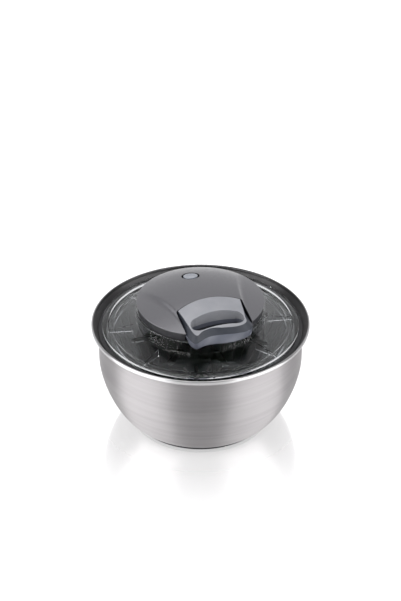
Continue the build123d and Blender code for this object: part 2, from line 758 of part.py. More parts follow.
with BuildPart() as cover_screws:
    for angle in SCREW_ANGLES:
        with BuildSketch(Plane.XY.offset(DECK_Z - LID_WALL - 1.8)):
            with Locations(at_angle(SCREW_CIRCLE, angle)[:2]):
                Circle(3)
        extrude(amount=1.8)
        with BuildSketch(Plane.XY.offset(DECK_Z - LID_WALL)):
            with Locations(at_angle(SCREW_CIRCLE, angle)[:2]):
                Circle(1.4)
        extrude(amount=12)
        with BuildSketch(Plane.XY.offset(DECK_Z - LID_WALL - 1.8)):
            with Locations(at_angle(SCREW_CIRCLE, angle)[:2]):
                Rectangle(4, 0.9)
                Rectangle(0.9, 4)
        extrude(amount=1, mode=Mode.SUBTRACT)
keep(cover_screws.part, "cover_screws")

# ---- pull handle -------------------------------------------------------------------
with BuildPart() as handle_form:
    with BuildSketch(Plane.XY.offset(handle_bottom_z)):
        add(handle_outline(**bottom_outline))
        make_face()
    with BuildSketch(Plane.XY.offset(HANDLE_SPLIT_Z)):
        add(handle_outline(**middle_outline))
        make_face()
    with BuildSketch(Plane.XY.offset(brow_z)):
        add(handle_outline(**band_outline))
        make_face()
    with BuildSketch(Plane.XY.offset(band_top_z)):
        add(handle_outline(**top_outline))
        make_face()
    loft(ruled=True)


def opening_block(grow):
    """Block through the finger opening, with its edge moved out."""
    with BuildPart() as block:
        with BuildSketch(Plane.XY.offset(handle_bottom_z - 1)):
            with BuildLine():
                ThreePointArc((-24, -49.5), (0, -46), (24, -49.5))
                ThreePointArc((24, -49.5), (33, -60), (24, -67.8))
                ThreePointArc((24, -67.8), (0, -66.8), (-24, -67.8))
                ThreePointArc((-24, -67.8), (-33, -60), (-24, -49.5))
            make_face()
            if grow:
                offset(amount=grow)
        extrude(amount=40)
    return block.part


def top_block(inset, low_z):
    """Block inside the top outline, from a level up past the crown."""
    with BuildPart() as block:
        with BuildSketch(Plane.XY.offset(low_z)):
            add(handle_outline(**top_outline))
            make_face()
            if inset:
                offset(amount=-inset)
        extrude(amount=185 - low_z)
    return block.part


opening = opening_block(0)
opening_wall = opening_block(HANDLE_WALL)
handle_screw_points = ((-33.5, -46.5), (33.5, -46.5))
crown_ball = dome_cap(crown_radius, crown_centre, 100)
inner_ball = dome_cap(crown_radius - HANDLE_WALL, crown_centre, 100)
with BuildPart() as brow:
    add(crown_ball)
    with Locations((0, 0, 100)):
        Box(190, 190, brow_z - 100, align=(Align.CENTER, Align.CENTER, Align.MIN))
with BuildPart() as screw_posts:
    with BuildSketch(Plane.XY.offset(handle_bottom_z)):
        with Locations(handle_screw_points):
            Circle(3.2)
        with Locations((0, HANDLE_BACK_Y)):
            Rectangle(90, HANDLE_WALL, align=(Align.CENTER, Align.MAX))
        with Locations((0, -62)):
            Rectangle(90, 20, align=(Align.CENTER, Align.MAX))
    extrude(amount=40)
top_hollow = top_block(HANDLE_WALL, HANDLE_SPLIT_Z - 1) & inner_ball
top_hollow = top_hollow - opening_wall - screw_posts.part

cheek_z = 163.5
with BuildPart() as handle_top:
    add(top_block(0, HANDLE_SPLIT_Z))
    add(brow.part, mode=Mode.INTERSECT)
    with Locations((0, HANDLE_BACK_Y, 100)):
        Box(2 * DOCK_HALF_WIDTH + 1.2, 60, LEDGE_TOP_Z + 0.6 - 100,
            align=(Align.CENTER, Align.MIN, Align.MIN), mode=Mode.SUBTRACT)
    with Locations((0, HANDLE_BACK_Y, 100)):
        Box(100, 60, cheek_z - 100, align=(Align.CENTER, Align.MIN, Align.MIN), mode=Mode.SUBTRACT)
    add(top_hollow, mode=Mode.SUBTRACT)
    add(opening, mode=Mode.SUBTRACT)
    with BuildSketch(Plane.XZ.offset(-HANDLE_BACK_Y - 1)):
        with Locations((0, CORD_Z)):
            Circle(1.3)
    extrude(amount=3, mode=Mode.SUBTRACT)
    with Locations((0, HANDLE_BACK_Y - 0.9, HANDLE_SPLIT_Z)):
        Box(5.2, 1.8, CORD_Z + 2.6 - HANDLE_SPLIT_Z,
            align=(Align.CENTER, Align.MAX, Align.MIN), mode=Mode.SUBTRACT)
    with BuildSketch(Plane.XY.offset(HANDLE_SPLIT_Z)):
        with Locations(handle_screw_points):
            Circle(1.1)
    extrude(amount=5, mode=Mode.SUBTRACT)
keep(handle_top.part, "handle_top")

with BuildPart() as handle_grip:
    add(handle_form.part)
    add(brow.part, mode=Mode.INTERSECT)
    add(top_block(0, handle_bottom_z - 1), mode=Mode.SUBTRACT)
    with Locations((0, 0, HANDLE_SPLIT_Z)):
        Box(200, 200, 60, align=(Align.CENTER, Align.CENTER, Align.MAX), mode=Mode.SUBTRACT)
    with Locations((0, HANDLE_BACK_Y, cheek_z)):
        Box(200, 100, 60, align=(Align.CENTER, Align.MIN, Align.MAX), mode=Mode.SUBTRACT)
    with Locations((0, -31, cheek_z)):
        Box(200, 100, 60, align=(Align.CENTER, Align.MIN, Align.CENTER), mode=Mode.SUBTRACT)
keep(handle_grip.part, "handle_grip")

with BuildPart() as handle_base:
    add(handle_form.part)
    with Locations((0, 0, HANDLE_SPLIT_Z)):
        Box(200, 200, 60, align=(Align.CENTER, Align.CENTER, Align.MIN), mode=Mode.SUBTRACT)
    with Locations((0, HANDLE_BACK_Y, HANDLE_SPLIT_Z)):
        Box(200, 100, 60, align=(Align.CENTER, Align.MIN, Align.CENTER), mode=Mode.SUBTRACT)
    with BuildSketch(Plane.XY.offset(handle_bottom_z - 1)):
        Circle(TURRET_RADIUS + 0.8)
    extrude(amount=HANDLE_FLOOR_Z - handle_bottom_z + 1, mode=Mode.SUBTRACT)
    with Locations((0, -72.6, HANDLE_FLOOR_Z + HANDLE_WALL)):
        Box(56, 4.4, 10, align=(Align.CENTER, Align.CENTER, Align.MIN), mode=Mode.SUBTRACT)
    add(opening, mode=Mode.SUBTRACT)
    with BuildSketch(Plane.XY.offset(HANDLE_FLOOR_Z)):
        with Locations(handle_screw_points):
            Circle(2.3)
    extrude(amount=1.6, mode=Mode.SUBTRACT)
    with BuildSketch(Plane.XY.offset(HANDLE_FLOOR_Z)):
        with Locations(handle_screw_points):
            Circle(1.1)
    extrude(amount=10, mode=Mode.SUBTRACT)
    foot_edges = handle_base.edges().filter_by(lambda edge: edge.center().Z < foot_level)
    fillet(foot_edges.filter_by(lambda edge: edge.length > 30), HANDLE_FOOT_ROUND)
keep(handle_base.part, "handle_base")

with BuildPart() as handle_screws:
    with BuildSketch(Plane.XY.offset(HANDLE_FLOOR_Z)):
        with Locations(handle_screw_points):
            Circle(2.2)
    extrude(amount=1.5)
    with BuildSketch(Plane.XY.offset(HANDLE_FLOOR_Z + 1.5)):
        with Locations(handle_screw_points):
            Circle(1.1)
    extrude(amount=HANDLE_SPLIT_Z + 4.5 - HANDLE_FLOOR_Z - 1.5)
keep(handle_screws.part, "handle_screws")

with BuildPart() as cord_ferrule:
    with BuildSketch(Plane.XZ.offset(-HANDLE_BACK_Y + 1)):
        with Locations((0, CORD_Z)):
            Circle(2.2)
    extrude(amount=1.6)
keep(cord_ferrule.part, "cord_ferrule")

# ---- brake -------------------------------------------------------------------------
button_roof_z = 171.8
button_skirt_z = 170.8
pad_top_z = 159.3
tilt = asin(BUTTON_Y / crown_radius)
dish_radius = 40.0
dish_lift = dish_radius - 0.5
with BuildPart() as brake_button:
    with BuildSketch(Plane.XY.offset(button_skirt_z)):
        with Locations((0, BUTTON_Y)):
            Circle(BUTTON_RADIUS)
    extrude(amount=10)
    add(crown_ball, mode=Mode.INTERSECT)
    with BuildSketch(Plane.XY.offset(button_skirt_z)):
        with Locations((0, BUTTON_Y)):
            Circle(BUTTON_RADIUS - 1.7)
    extrude(amount=button_roof_z - button_skirt_z, mode=Mode.SUBTRACT)
    with Locations((0, BUTTON_Y + dish_lift * sin(tilt), button_top_z + dish_lift * cos(tilt))):
        Sphere(dish_radius, mode=Mode.SUBTRACT)
    top_loop = brake_button.edges().filter_by(lambda edge: edge.length > 40).sort_by(Axis.Z)[-1]
    fillet(top_loop, BUTTON_EDGE_ROUND)
keep(brake_button.part, "brake_button")

with BuildPart() as brake_plunger:
    with BuildSketch(Plane.XY.offset(pad_top_z)):
        with Locations((0, BUTTON_Y)):
            Rectangle(12, 5.2)
    extrude(amount=1.6)
    with BuildSketch(Plane.XY.offset(pad_top_z)):
        with Locations((0, BUTTON_Y)):
            Circle(2.6)
    extrude(amount=button_roof_z - pad_top_z)
keep(brake_plunger.part, "brake_plunger")

with BuildPart() as brake_pad:
    with BuildSketch(Plane.XY.offset(DISC_TOP_Z + BUTTON_TRAVEL + 0.1)):
        with Locations((0, BUTTON_Y)):
            RectangleRounded(12, 5.2, 1)
    extrude(amount=pad_top_z - DISC_TOP_Z - BUTTON_TRAVEL - 0.1)
keep(brake_pad.part, "brake_pad")

spring_wire = 0.5
with BuildPart() as brake_spring:
    with BuildLine():
        coil = Helix(1.4, 3.0, 5.5, center=(0, BUTTON_Y, sleeve_floor_z + 1.1 + 0.35))
    with BuildSketch(Plane(origin=coil @ 0, z_dir=coil % 0)):
        Circle(spring_wire / 2)
    sweep()
keep(brake_spring.part, "brake_spring")
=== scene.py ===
import bpy, json
from math import atan2, cos, hypot, pi, radians, sin, sqrt
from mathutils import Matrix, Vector


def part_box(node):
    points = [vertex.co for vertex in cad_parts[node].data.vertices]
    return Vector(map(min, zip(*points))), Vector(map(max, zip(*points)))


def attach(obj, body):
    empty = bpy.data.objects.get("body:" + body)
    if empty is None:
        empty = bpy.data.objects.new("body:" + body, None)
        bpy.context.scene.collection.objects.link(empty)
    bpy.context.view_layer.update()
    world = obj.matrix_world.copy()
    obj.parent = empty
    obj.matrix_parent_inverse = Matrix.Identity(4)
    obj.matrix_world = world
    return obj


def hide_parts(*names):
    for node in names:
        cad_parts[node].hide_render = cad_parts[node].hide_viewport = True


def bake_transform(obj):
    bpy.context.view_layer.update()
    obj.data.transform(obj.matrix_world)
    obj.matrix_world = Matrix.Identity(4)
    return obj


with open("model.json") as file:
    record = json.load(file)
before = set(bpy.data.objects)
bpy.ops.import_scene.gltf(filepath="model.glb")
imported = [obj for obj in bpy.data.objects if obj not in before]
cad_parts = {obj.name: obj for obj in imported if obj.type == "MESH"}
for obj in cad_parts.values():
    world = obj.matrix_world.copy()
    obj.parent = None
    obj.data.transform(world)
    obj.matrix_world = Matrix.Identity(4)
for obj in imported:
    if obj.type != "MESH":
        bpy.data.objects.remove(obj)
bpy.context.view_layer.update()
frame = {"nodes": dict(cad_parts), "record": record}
nodes = frame["nodes"]
MM = 0.001

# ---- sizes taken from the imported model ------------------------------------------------
cover_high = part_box("housing_cover")[1]
tray_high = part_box("housing_tray")[1]
button_low, button_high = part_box("brake_button")
lid_low, lid_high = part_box("lid")
run_low, run_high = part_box("cord_run")
COVER_RADIUS = cover_high.x
COVER_FOOT = tray_high.z + 0.1 * MM
COVER_EDGE = COVER_FOOT + 1.2 * MM
CROWN_TOP = cover_high.z
SCOOP_TOP = CROWN_TOP - 5.5 * MM
COVER_WALL = 2.0 * MM
BUTTON_Y = (button_low.y + button_high.y) / 2
BUTTON_RADIUS = (button_high.x - button_low.x) / 2
WELL_RADIUS = BUTTON_RADIUS + 2.4 * MM
WELL_WALL = 1.5 * MM
WELL_FLOOR = button_low.z - 3.9 * MM
WELL_FLOOR_THICKNESS = 1.1 * MM
WELL_LIP_DROP = 1.2 * MM
PLUNGER_HOLE = 3.1 * MM
HANDLE_HALF = max(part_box(name)[1].x for name in ("handle_top", "handle_grip", "handle_base"))
DOCK_GAP = 0.5 * MM
DOCK_CORNER_Y = -30.0 * MM
DOCK_MIDDLE_Y = -21.5 * MM
DOCK_FRONT_Y = -95.0 * MM
DECK_TOP = lid_high.z
BEAD_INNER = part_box("bowl")[1].x - 2.4 * MM


# ---- materials ------------------------------------------------------------------------
class Shade:
    """A Principled material and short ways to feed its sockets from procedural nodes."""

    def __init__(self, name, colour, roughness, metallic=0.0, **more):
        self.material = bpy.data.materials.new(name)
        self.material.use_nodes = True
        self.tree = self.material.node_tree
        self.shader = self.tree.nodes["Principled BSDF"]
        self.set("Base Color", (*colour, 1.0))
        self.set("Roughness", roughness)
        self.set("Metallic", metallic)
        for key, value in more.items():
            self.set(key.replace("_", " "), value)
        self.material.diffuse_color = (*colour, 1.0)
        self.place = self.tree.nodes.new("ShaderNodeTexCoord").outputs["Object"]

    def set(self, socket, value):
        self.shader.inputs[socket].default_value = value

    def node(self, kind, **settings):
        made = self.tree.nodes.new(kind)
        for key, value in settings.items():
            setattr(made, key, value)
        return made

    def link(self, source, target):
        self.tree.links.new(source, target)

    def noise(self, scale, detail=3.0, place=None, stretch=None):
        """Noise in the piece's own metres; stretch scales its three axes."""
        source = place or self.place
        if stretch:
            mapping = self.node("ShaderNodeMapping")
            mapping.inputs["Scale"].default_value = stretch
            self.link(source, mapping.inputs["Vector"])
            source = mapping.outputs["Vector"]
        made = self.node("ShaderNodeTexNoise")
        made.inputs["Scale"].default_value = scale
        made.inputs["Detail"].default_value = detail
        self.link(source, made.inputs["Vector"])
        return made.outputs["Fac"]

    def cells(self, scale):
        made = self.node("ShaderNodeTexVoronoi")
        made.inputs["Scale"].default_value = scale
        self.link(self.place, made.inputs["Vector"])
        return made.outputs["Distance"]

    def span(self, source, low, high, from_low=0.3, from_high=0.7):
        made = self.node("ShaderNodeMapRange")
        for key, value in zip(("From Min", "From Max", "To Min", "To Max"), (from_low, from_high, low, high)):
            made.inputs[key].default_value = value
        self.link(source, made.inputs["Value"])
        return made.outputs["Result"]

    def blend(self, share, first, second):
        """A colour between two, each of them a plain colour or another node's output."""
        made = self.node("ShaderNodeMix", data_type="RGBA")
        self.link(share, made.inputs[0])
        for socket, colour in ((6, first), (7, second)):
            if isinstance(colour, tuple):
                made.inputs[socket].default_value = (*colour, 1.0)
            else:
                self.link(colour, made.inputs[socket])
        return made.outputs[2]

    def tint(self, source, dark, light, from_low=0.3, from_high=0.7):
        share = self.span(source, 0.0, 1.0, from_low, from_high)
        self.link(self.blend(share, dark, light), self.shader.inputs["Base Color"])

    def rough(self, source, low, high):
        self.link(self.span(source, low, high), self.shader.inputs["Roughness"])

    def bump(self, source, strength, distance):
        made = self.node("ShaderNodeBump")
        made.inputs["Strength"].default_value = strength
        made.inputs["Distance"].default_value = distance
        self.link(source, made.inputs["Height"])
        self.link(made.outputs["Normal"], self.shader.inputs["Normal"])

    def around(self):
        """Coordinates that run round the centre line: (turns, radius, height)."""
        parts = self.node("ShaderNodeSeparateXYZ")
        self.link(self.place, parts.inputs[0])
        turn = self.node("ShaderNodeMath", operation="ARCTAN2")
        self.link(parts.outputs["Y"], turn.inputs[0])
        self.link(parts.outputs["X"], turn.inputs[1])
        flat = self.node("ShaderNodeCombineXYZ")
        self.link(parts.outputs["X"], flat.inputs["X"])
        self.link(parts.outputs["Y"], flat.inputs["Y"])
        radius = self.node("ShaderNodeVectorMath", operation="LENGTH")
        self.link(flat.outputs[0], radius.inputs[0])
        joined = self.node("ShaderNodeCombineXYZ")
        self.link(turn.outputs[0], joined.inputs["X"])
        self.link(radius.outputs["Value"], joined.inputs["Y"])
        self.link(parts.outputs["Z"], joined.inputs["Z"])
        return joined.outputs[0]

    def facing_in(self):
        """One where a surface faces the centre line, nought where it faces away from it."""
        flat = self.node("ShaderNodeVectorMath", operation="MULTIPLY")
        flat.inputs[1].default_value = (1.0, 1.0, 0.0)
        self.link(self.place, flat.inputs[0])
        outward = self.node("ShaderNodeVectorMath", operation="NORMALIZE")
        self.link(flat.outputs[0], outward.inputs[0])
        facing = self.node("ShaderNodeVectorMath", operation="DOT_PRODUCT")
        self.link(self.node("ShaderNodeNewGeometry").outputs["Normal"], facing.inputs[0])
        self.link(outward.outputs[0], facing.inputs[1])
        return self.span(facing.outputs["Value"], 1.0, 0.0, -0.3, 0.0)


def lathe_steel():
    """Steel sheet brushed round the centre line, polished at the rim, with painted shade on the inside: a
    darker colour in place of the dark surroundings it would mirror.
    """
    s = Shade("bowl_steel", (0.34, 0.332, 0.334), 0.52, 1.0, Anisotropic=0.85, Anisotropic_Rotation=0.25)
    tangent = s.node("ShaderNodeTangent", direction_type="RADIAL", axis="Z")
    s.link(tangent.outputs[0], s.shader.inputs["Tangent"])
    streaks = s.noise(1.0, 4.0, s.around(), (1.2, 2600.0, 2600.0))
    broad = s.noise(1.0, 2.0, s.around(), (0.8, 160.0, 160.0))
    s.bump(streaks, 0.03, 0.00002)
    radius = s.node("ShaderNodeSeparateXYZ")
    s.link(s.around(), radius.inputs[0])
    at_rim = s.span(radius.outputs["Y"], 0.0, 1.0, BEAD_INNER, BEAD_INNER + 0.3 * MM)
    sheet = s.blend(s.span(broad, 0.0, 1.0), (0.3, 0.288, 0.293), (0.335, 0.323, 0.327))
    with_rim = s.blend(at_rim, sheet, (0.46, 0.455, 0.46))
    # Painted shade: surfaces facing the centre line take a dark colour in place of the dark surroundings they
    # would mirror.
    s.link(s.blend(s.facing_in(), with_rim, (0.11, 0.108, 0.11)), s.shader.inputs["Base Color"])
    gloss = s.node("ShaderNodeMix", data_type="FLOAT")
    s.link(at_rim, gloss.inputs[0])
    s.link(s.span(streaks, 0.48, 0.56), gloss.inputs[2])
    gloss.inputs[3].default_value = 0.28
    s.link(gloss.outputs[0], s.shader.inputs["Roughness"])
    return s.material


def moulded(name, dark, light, roughness, grain=3200.0, depth=0.00003, strength=0.25, **more):
    """Moulded plastic: cloudy tint, fine surface grain and uneven gloss."""
    s = Shade(name, light, roughness, **more)
    s.tint(s.noise(60.0, 4.0), dark, light)
    s.rough(s.noise(240.0, 5.0), roughness - 0.05, roughness + 0.06)
    s.bump(s.noise(grain, 2.0), strength, depth)
    return s.material


def flaked(name, dark, light, roughness, **more):
    """Metallic plastic: tiny flakes in the tint under a satin surface."""
    s = Shade(name, light, roughness, **more)
    s.tint(s.cells(5200.0), light, dark, 0.1, 0.75)
    s.rough(s.noise(300.0, 4.0), roughness - 0.04, roughness + 0.05)
    s.bump(s.noise(2600.0, 2.0), 0.15, 0.00002)
    return s.material


def rubbery(name, dark, light, roughness):
    """Rubber: cloudy tint, uneven gloss, a coarse grain and a trace of sheen."""
    s = Shade(name, light, roughness, Sheen_Weight=0.04, Sheen_Roughness=0.5)
    s.tint(s.noise(90.0, 5.0), dark, light)
    s.rough(s.noise(500.0, 3.0), roughness - 0.06, roughness + 0.06)
    s.bump(s.noise(4200.0, 3.0), 0.35, 0.00005)
    return s.material


def clear(name, colour, roughness):
    """Clear plastic. Its index is set below real plastic's, which keeps the surface glare low."""
    s = Shade(name, colour, roughness, Transmission_Weight=1.0, IOR=1.3)
    s.rough(s.noise(35.0, 3.0), roughness, roughness + 0.02)
    return s.material


def bright_steel(name, colour, low, high):
    """Plain metal with drawn marks, for screws, pins and springs."""
    s = Shade(name, colour, low, 1.0)
    s.tint(s.noise(400.0, 4.0), tuple(c * 0.85 for c in colour), colour)
    s.rough(s.noise(1.0, 3.0, None, (900.0, 900.0, 5200.0)), low, high)
    s.bump(s.noise(3000.0, 2.0), 0.08, 0.00002)
    return s.material


def braid(name):
    """Braided cord: two crossing sets of strands."""
    s = Shade(name, (0.72, 0.71, 0.69), 0.75, Sheen_Weight=0.4)
    waves = []
    for turn in (0.8, -0.8):
        mapping = s.node("ShaderNodeMapping")
        mapping.inputs["Rotation"].default_value = (0.0, 0.0, turn)
        s.link(s.place, mapping.inputs["Vector"])
        wave = s.node("ShaderNodeTexWave")
        wave.inputs["Scale"].default_value = 700.0
        wave.inputs["Distortion"].default_value = 0.8
        s.link(mapping.outputs["Vector"], wave.inputs["Vector"])
        waves.append(wave.outputs["Fac"])
    woven = s.node("ShaderNodeMath", operation="MULTIPLY")
    s.link(waves[0], woven.inputs[0])
    s.link(waves[1], woven.inputs[1])
    s.tint(woven.outputs[0], (0.5, 0.49, 0.47), (0.78, 0.77, 0.75), 0.0, 0.7)
    s.bump(woven.outputs[0], 0.5, 0.0001)
    return s.material


finishes = {
    "bowl_steel": lathe_steel(),
    "base_rubber": rubbery("base_rubber", (0.012, 0.012, 0.015), (0.022, 0.021, 0.026), 0.55),
    "basket_plastic": moulded("basket_plastic", (0.02, 0.026, 0.022), (0.035, 0.045, 0.038), 0.38),
    "clear_plastic": clear("clear_plastic", (0.93, 0.94, 0.95), 0.02),
    "seal_rubber": rubbery("seal_rubber", (0.008, 0.008, 0.01), (0.014, 0.014, 0.017), 0.5),
    "housing_black": moulded("housing_black", (0.01, 0.01, 0.012), (0.018, 0.018, 0.022), 0.4),
    "cover_grey": flaked("cover_grey", (0.105, 0.104, 0.113), (0.148, 0.146, 0.157), 0.36, Metallic=0.5,
                         Coat_Weight=0.25, Coat_Roughness=0.2),
    "handle_light": moulded("handle_light", (0.2, 0.205, 0.224), (0.235, 0.238, 0.257), 0.36),
    "handle_mid": moulded("handle_mid", (0.075, 0.082, 0.105), (0.095, 0.102, 0.128), 0.36),
    "grip_soft": rubbery("grip_soft", (0.012, 0.015, 0.023), (0.02, 0.024, 0.034), 0.46),
    "button_grey": flaked("button_grey", (0.16, 0.173, 0.205), (0.215, 0.228, 0.265), 0.22, Coat_Weight=0.5,
                          Coat_Roughness=0.1),
    "acetal_white": moulded("acetal_white", (0.66, 0.65, 0.6), (0.76, 0.75, 0.71), 0.32, 900.0),
    "drive_black": moulded("drive_black", (0.02, 0.02, 0.023), (0.032, 0.032, 0.036), 0.42),
    "fixing_steel": bright_steel("fixing_steel", (0.62, 0.62, 0.64), 0.16, 0.3),
    "spring_steel": bright_steel("spring_steel", (0.38, 0.39, 0.43), 0.2, 0.36),
    "cord_fibre": braid("cord_fibre"),
    "ferrule_brass": bright_steel("ferrule_brass", (0.62, 0.46, 0.2), 0.2, 0.34),
    "brake_rubber": rubbery("brake_rubber", (0.02, 0.02, 0.02), (0.032, 0.031, 0.03), 0.7),
}

for row in frame["record"]["subparts"]:
    node = nodes[row["node"]]
    if not node.material_slots:
        node.data.materials.append(None)
    for place in node.material_slots:
        place.link = "OBJECT"
        place.material = finishes[row["material_slot"]]


# ---- helpers for new pieces -----------------------------------------------------------
def piece(name, verts, faces, slot, body, *replaced, smooth=True):
    """A mesh piece in the row frame with its finish, body and the CAD node that it stands for."""
    mesh = bpy.data.meshes.new(name)
    mesh.from_pydata(verts, [], faces)
    mesh.validate()
    made = bpy.data.objects.new(name, mesh)
    bpy.context.scene.collection.objects.link(made)
    mesh.polygons.foreach_set("use_smooth", [smooth] * len(mesh.polygons))
    made.data.materials.append(finishes[slot])
    if replaced:
        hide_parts(*replaced)
    if body:
        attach(made, body)
    return made


def lathe(profile, segments, centre=(0.0, 0.0)):
    """Vertices and faces of a closed profile of (radius, height) turned about a vertical line."""
    verts, faces = [], []
    count = len(profile)
    for step in range(segments):
        turn = 2 * pi * step / segments
        for radius, height in profile:
            verts.append((centre[0] + radius * cos(turn), centre[1] + radius * sin(turn), height))
    for step in range(segments):
        ahead = (step + 1) % segments
        for i in range(count):
            j = (i + 1) % count
            faces.append((step * count + i, ahead * count + i, ahead * count + j, step * count + j))
    return verts, faces


def prism(outline, low, high):
    """Vertices and faces of an upright prism."""
    count = len(outline)
    verts = [(x, y, low) for x, y in outline] + [(x, y, high) for x, y in outline]
    faces = [tuple(reversed(range(count))), tuple(range(count, 2 * count))]
    for i in range(count):
        j = (i + 1) % count
        faces.append((i, j, count + j, count + i))
    return verts, faces


def arc_points(start, middle, end, steps):
    """Points of the circle arc through three points, ends included."""
    (ax, ay), (bx, by), (cx, cy) = start, middle, end
    d = 2 * (ax * (by - cy) + bx * (cy - ay) + cx * (ay - by))
    ux = ((ax**2 + ay**2) * (by - cy) + (bx**2 + by**2) * (cy - ay) + (cx**2 + cy**2) * (ay - by)) / d
    uy = ((ax**2 + ay**2) * (cx - bx) + (bx**2 + by**2) * (ax - cx) + (cx**2 + cy**2) * (bx - ax)) / d
    radius = hypot(ax - ux, ay - uy)
    first = atan2(ay - uy, ax - ux)
    last = atan2(cy - uy, cx - ux)
    via = atan2(by - uy, bx - ux)
    sweep = (last - first) % (2 * pi)
    if (via - first) % (2 * pi) > sweep:
        sweep -= 2 * pi
    return [(ux + radius * cos(first + sweep * k / steps), uy + radius * sin(first + sweep * k / steps))
            for k in range(steps + 1)]


def circle(radius, centre_y, count):
    """Points of a level circle on the middle line."""
    turns = [2 * pi * k / count for k in range(count)]
    return [(radius * cos(turn), centre_y + radius * sin(turn)) for turn in turns]


def cut_with(target, verts, faces, operation="DIFFERENCE"):
    """Takes a closed solid out of a piece for good, or joins it on."""
    mesh = bpy.data.meshes.new("cutter")
    mesh.from_pydata(verts, [], faces)
    cutter = bpy.data.objects.new("cutter", mesh)
    bpy.context.scene.collection.objects.link(cutter)
    modifier = target.modifiers.new("cut", "BOOLEAN")
    modifier.operation = operation
    modifier.solver = "EXACT"
    modifier.object = cutter
    graph = bpy.context.evaluated_depsgraph_get()
    done = bpy.data.meshes.new_from_object(target.evaluated_get(graph))
    target.modifiers.clear()
    target.data = done
    bpy.data.objects.remove(cutter)


# ---- domed cover ----------------------------------------------------------------------
def sphere_through(edge_radius, edge_z, crown_z):
    """Radius and centre height of the sphere through an edge circle and a crown point."""
    rise = crown_z - edge_z
    radius = (edge_radius**2 + rise**2) / (2 * rise)
    return radius, crown_z - radius


crown_r, crown_c = sphere_through(COVER_RADIUS, COVER_EDGE, CROWN_TOP)
scoop_r, scoop_c = sphere_through(COVER_RADIUS, COVER_EDGE, SCOOP_TOP)
CREASE_FRONT = (41.0 * MM, -32.0 * MM)
CREASE_MIDDLE = (50.0 * MM, 6.0 * MM)
CREASE_BACK = (65.5 * MM, 46.0 * MM)
CREASE_SOFTNESS = 0.12
CREASE_FALL = 2.2
FADE_START_Y = -35.0 * MM
FADE_LENGTH = 85.0 * MM
FADE_NARROW = 5.0 * MM
FADE_WIDENING = 14.0 * MM
FADE_POWER = 1.4
COVER_RINGS = 96
COVER_INNER_RINGS = 40
COVER_SEGMENTS = 384
CUT_LOW = 140.0 * MM
CUT_HIGH = 200.0 * MM
EDGE_ROUND = 0.45 * MM


def crease_x(y):
    """Half width of the raised saddle at a distance along the handle's axis."""
    (x0, y0), (x1, y1), (x2, y2) = CREASE_FRONT, CREASE_MIDDLE, CREASE_BACK
    first = (x1 - x0) / (y1 - y0)
    second = (x2 - x1) / (y2 - y1)
    return x0 + first * (y - y0) + (second - first) / (y2 - y0) * (y - y0) * (y - y1)


def cover_height(x, y):
    """Outer surface: the crown in the middle, falling over a soft crease to the side scoops."""
    r2 = min(x * x + y * y, COVER_RADIUS**2)
    crown = crown_c + sqrt(crown_r**2 - r2)
    scoop = scoop_c + sqrt(scoop_r**2 - r2)
    along = min(max((y - FADE_START_Y) / FADE_LENGTH, 0.0), 1.0)
    width = FADE_NARROW + FADE_WIDENING * along**FADE_POWER
    d = (abs(x) - crease_x(y)) / width
    d = (d + sqrt(d * d + CREASE_SOFTNESS**2)) / 2
    weight = (1 - min(d, 1.0)) ** CREASE_FALL
    return scoop + (crown - scoop) * weight


def cover_mesh():
    """The cover's shell as rings of points: outer surface, rim, then the inner surface."""
    rings = [COVER_RADIUS * (k / COVER_RINGS) for k in range(1, COVER_RINGS)] + [COVER_RADIUS - 0.3 * MM]
    segments = COVER_SEGMENTS
    verts = [(0.0, 0.0, cover_height(0.0, 0.0))]
    faces = []

    def add_ring(radius, height):
        base = len(verts)
        for s in range(segments):
            turn = 2 * pi * s / segments
            x, y = radius * cos(turn), radius * sin(turn)
            verts.append((x, y, height(x, y) if callable(height) else height))
        return base

    def bridge(a, b):
        for s in range(segments):
            t = (s + 1) % segments
            faces.append((a + s, b + s, b + t, a + t))

    bases = [add_ring(r, cover_height) for r in rings]
    for s in range(segments):
        faces.append((0, bases[0] + s, bases[0] + (s + 1) % segments))
    for a, b in zip(bases, bases[1:]):
        bridge(a, b)
    rim = [
        add_ring(COVER_RADIUS, COVER_EDGE - 0.25 * MM),
        add_ring(COVER_RADIUS, COVER_FOOT + 0.2 * MM),
        add_ring(COVER_RADIUS - 0.2 * MM, COVER_FOOT),
        add_ring(COVER_RADIUS - COVER_WALL, COVER_FOOT),
    ]
    inner_radii = [COVER_RADIUS * (k / COVER_INNER_RINGS) for k in range(COVER_INNER_RINGS - 2, 0, -1)]
    inner = [add_ring(r, lambda x, y: max(cover_height(x, y) - COVER_WALL, COVER_FOOT + 0.02 * MM))
             for r in inner_radii]
    chain = [bases[-1]] + rim + inner
    for a, b in zip(chain, chain[1:]):
        bridge(a, b)
    last = len(verts)
    verts.append((0.0, 0.0, cover_height(0.0, 0.0) - COVER_WALL))
    for s in range(segments):
        faces.append((last, inner[-1] + (s + 1) % segments, inner[-1] + s))
    return verts, faces


def dock_outline():
    """Plan of the opening that the handle docks in."""
    side = HANDLE_HALF + DOCK_GAP
    back = arc_points((side, DOCK_CORNER_Y), (0.0, DOCK_MIDDLE_Y), (-side, DOCK_CORNER_Y), 64)
    return back + [(-side, DOCK_FRONT_Y), (side, DOCK_FRONT_Y)]


cover = piece("dome_cover", *cover_mesh(), "cover_grey", None, "housing_cover")
cut_with(cover, *prism(dock_outline(), CUT_LOW, CUT_HIGH))
cut_with(cover, *prism(circle(WELL_RADIUS, BUTTON_Y, 128), CUT_LOW, CUT_HIGH))
rounding = cover.modifiers.new("edge_rounding", "BEVEL")
rounding.width = EDGE_ROUND
rounding.segments = 2
rounding.limit_method = "ANGLE"
rounding.angle_limit = radians(50)
for polygon in cover.data.polygons:
    polygon.use_smooth = True
sharpen = cover.modifiers.new("weighted", "WEIGHTED_NORMAL")
sharpen.keep_sharp = True
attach(cover, "lid")

